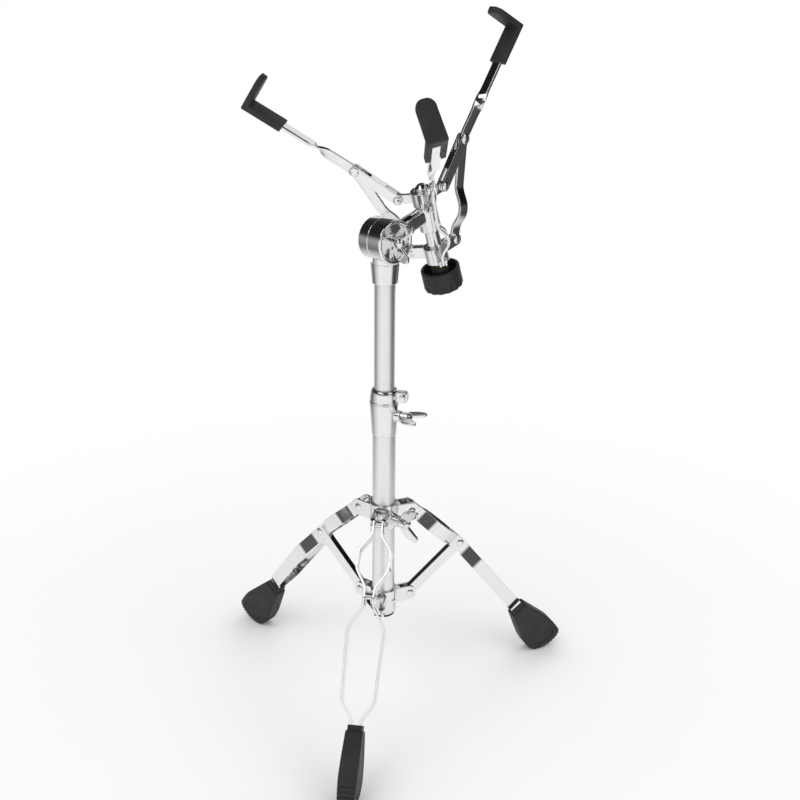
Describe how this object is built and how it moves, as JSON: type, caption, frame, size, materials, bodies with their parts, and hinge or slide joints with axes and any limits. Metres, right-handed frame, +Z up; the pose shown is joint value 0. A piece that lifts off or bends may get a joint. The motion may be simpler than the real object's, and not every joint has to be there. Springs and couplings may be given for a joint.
{
  "type": "snare drum stand",
  "caption": "Folding snare drum stand: tripod base with rubber feet, telescoping column, tilter and a closing basket whose padded arms grip the drum.",
  "frame": {"origin": "on the floor under the column axis, in the middle of the three feet", "axes": "+Z up along the column, front leg along -Y, +X to the right of someone facing the front leg"},
  "size_m": [0.4202, 0.3945, 0.7579],
  "materials": {
    "chrome": "bright polished chrome",
    "tube_chrome": "polished chrome tube",
    "rubber": "matte moulded rubber",
    "black_plastic": "satin black plastic",
    "nylon": "black nylon",
    "friction_pad": "fibre washer",
    "brass": "turned"
  },
  "bodies": {
    "base": {"base_tube": "tube_chrome", "tube_end_plug": "black_plastic", "lower_collar": "chrome", "lower_collar_rivets": "chrome", "brace_pins": "chrome", "height_clamp": "chrome", "clamp_bush": "nylon", "clamp_band": "chrome", "band_screw": "chrome"},
    "clamp_wing": {"clamp_wing_screw": "chrome"},
    "leg_collar": {"upper_collar": "chrome", "leg_pins": "chrome"},
    "collar_wing": {"collar_wing_screw": "chrome"},
    "upper": {"upper_tube": "tube_chrome", "tilter_base": "chrome", "tilter_friction_ring": "friction_pad", "tilter_bolt": "chrome"},
    "tilter_wing": {"tilter_wing_nut": "chrome"},
    "basket_head": {"tilter_head": "chrome", "basket_rod": "chrome", "rod_cap": "chrome", "upper_hub": "chrome", "link_pins": "chrome"},
    "lower_hub": {"lower_hub": "chrome", "arm_pins": "chrome"},
    "knob": {"basket_knob": "black_plastic", "knob_insert": "brass"},
    "front_brace": {"front_brace": "chrome"},
    "front_leg": {"front_leg_strip_a": "chrome", "front_leg_strip_b": "chrome", "front_leg_spacer": "chrome", "front_knee_pin": "chrome", "front_boot": "rubber"},
    "right_brace": {"right_brace": "chrome"},
    "right_leg": {"right_leg_strip_a": "chrome", "right_leg_strip_b": "chrome", "right_leg_spacer": "chrome", "right_knee_pin": "chrome", "right_boot": "rubber"},
    "left_brace": {"left_brace": "chrome"},
    "left_leg": {"left_leg_strip_a": "chrome", "left_leg_strip_b": "chrome", "left_leg_spacer": "chrome", "left_knee_pin": "chrome", "left_boot": "rubber"},
    "right_arm": {"right_arm_strip": "chrome", "right_arm_pad": "rubber", "right_arm_rivet": "chrome"},
    "right_link": {"right_arm_link": "chrome"},
    "left_arm": {"left_arm_strip": "chrome", "left_arm_pad": "rubber", "left_arm_rivet": "chrome"},
    "left_link": {"left_arm_link": "chrome"},
    "front_arm": {"front_arm_strip": "chrome", "front_arm_pad": "rubber", "front_arm_rivet": "chrome"},
    "front_link": {"front_arm_link": "chrome"}
  },
  "joints": [
    {"name": "tripod_fold", "type": "hinge", "parent": "base", "child": "front_brace", "pos_m": [0, -0.0307, 0.1167], "axis": [-1, 0, 0], "range_deg": [0, 34]},
    {"name": "front_knee", "type": "hinge", "parent": "front_brace", "child": "front_leg", "pos_m": [0, -0.0932, 0.1705], "axis": [-1, 0, 0], "range_deg": [-68, 0]},
    {"name": "collar_swing", "type": "hinge", "parent": "front_leg", "child": "leg_collar", "pos_m": [0, -0.0307, 0.2243], "axis": [-1, 0, 0], "range_deg": [0, 34]},
    {"name": "right_brace_fold", "type": "hinge", "parent": "base", "child": "right_brace", "pos_m": [0.02659, 0.01535, 0.1167], "axis": [0.5, -0.866, 0], "range_deg": [0, 34]},
    {"name": "right_knee", "type": "hinge", "parent": "right_brace", "child": "right_leg", "pos_m": [0.08071, 0.0466, 0.1705], "axis": [0.5, -0.866, 0], "range_deg": [-68, 0]},
    {"name": "left_brace_fold", "type": "hinge", "parent": "base", "child": "left_brace", "pos_m": [-0.02659, 0.01535, 0.1167], "axis": [0.5, 0.866, 0], "range_deg": [0, 34]},
    {"name": "left_knee", "type": "hinge", "parent": "left_brace", "child": "left_leg", "pos_m": [-0.08071, 0.0466, 0.1705], "axis": [0.5, 0.866, 0], "range_deg": [-68, 0]},
    {"name": "collar_wing_turn", "type": "hinge", "parent": "leg_collar", "child": "collar_wing", "pos_m": [0.02165, -0.0125, 0.2203], "axis": [0.866, -0.5, 0], "continuous": true},
    {"name": "clamp_wing_turn", "type": "hinge", "parent": "base", "child": "clamp_wing", "pos_m": [0.01922, -0.00551, 0.344], "axis": [0.9613, -0.2756, 0], "continuous": true},
    {"name": "height_slide", "type": "slide", "parent": "base", "child": "upper", "axis": [0, 0, 1], "range_m": [-0.1, 0.055]},
    {"name": "tilter_wing_turn", "type": "hinge", "parent": "upper", "child": "tilter_wing", "pos_m": [0, 0, 0.535], "axis": [0.7859, -0.6184, 0], "continuous": true},
    {"name": "basket_tilt", "type": "hinge", "parent": "upper", "child": "basket_head", "pos_m": [0, 0, 0.535], "axis": [0.7859, -0.6184, 0], "range_deg": [-35, 50]},
    {"name": "hub_slide", "type": "slide", "parent": "basket_head", "child": "lower_hub", "axis": [-0.1972, -0.2507, 0.9478], "range_m": [0, 0.00766]},
    {"name": "knob_turn", "type": "hinge", "parent": "lower_hub", "child": "knob", "pos_m": [0.04839, 0.07717, 0.48972], "axis": [-0.1972, -0.2507, 0.9478], "range_deg": [0, 2206.1]},
    {"name": "right_arm_swing", "type": "hinge", "parent": "lower_hub", "child": "right_arm", "pos_m": [0.06226, 0.09247, 0.51807], "axis": [0.7552, -0.6553, -0.0161], "range_deg": [0, 10.01]},
    {"name": "right_link_swing", "type": "hinge", "parent": "basket_head", "child": "right_link", "pos_m": [0.0497, 0.0765, 0.57845], "axis": [0.7552, -0.6553, -0.0161], "range_deg": [0, 23.59]},
    {"name": "left_arm_swing", "type": "hinge", "parent": "lower_hub", "child": "left_arm", "pos_m": [0.01674, 0.07813, 0.50481], "axis": [0.1638, 0.9448, 0.2839], "range_deg": [0, 10.01]},
    {"name": "left_link_swing", "type": "hinge", "parent": "basket_head", "child": "left_link", "pos_m": [0.00417, 0.06216, 0.56518], "axis": [0.1638, 0.9448, 0.2839], "range_deg": [0, 23.59]},
    {"name": "front_arm_swing", "type": "hinge", "parent": "lower_hub", "child": "front_arm", "pos_m": [0.05415, 0.04567, 0.50401], "axis": [-0.919, -0.2895, -0.2678], "range_deg": [0, 10.01]},
    {"name": "front_link_swing", "type": "hinge", "parent": "basket_head", "child": "front_link", "pos_m": [0.04158, 0.0297, 0.56438], "axis": [-0.919, -0.2895, -0.2678], "range_deg": [0, 23.59]}
  ],
  "couplings": [
    {"joint": "collar_swing", "follows": "tripod_fold", "ratio": 1},
    {"joint": "front_knee", "follows": "tripod_fold", "ratio": -2},
    {"joint": "right_brace_fold", "follows": "tripod_fold", "ratio": 1},
    {"joint": "right_knee", "follows": "tripod_fold", "ratio": -2},
    {"joint": "left_brace_fold", "follows": "tripod_fold", "ratio": 1},
    {"joint": "left_knee", "follows": "tripod_fold", "ratio": -2},
    {"joint": "knob_turn", "follows": "hub_slide", "rad_per_m": 5026.5},
    {"joint": "right_arm_swing", "follows": "hub_slide", "rad_per_m": 22.785},
    {"joint": "right_link_swing", "follows": "hub_slide", "rad_per_m": 53.734},
    {"joint": "left_arm_swing", "follows": "hub_slide", "rad_per_m": 22.785},
    {"joint": "left_link_swing", "follows": "hub_slide", "rad_per_m": 53.734},
    {"joint": "front_arm_swing", "follows": "hub_slide", "rad_per_m": 22.785},
    {"joint": "front_link_swing", "follows": "hub_slide", "rad_per_m": 53.734}
  ]
}
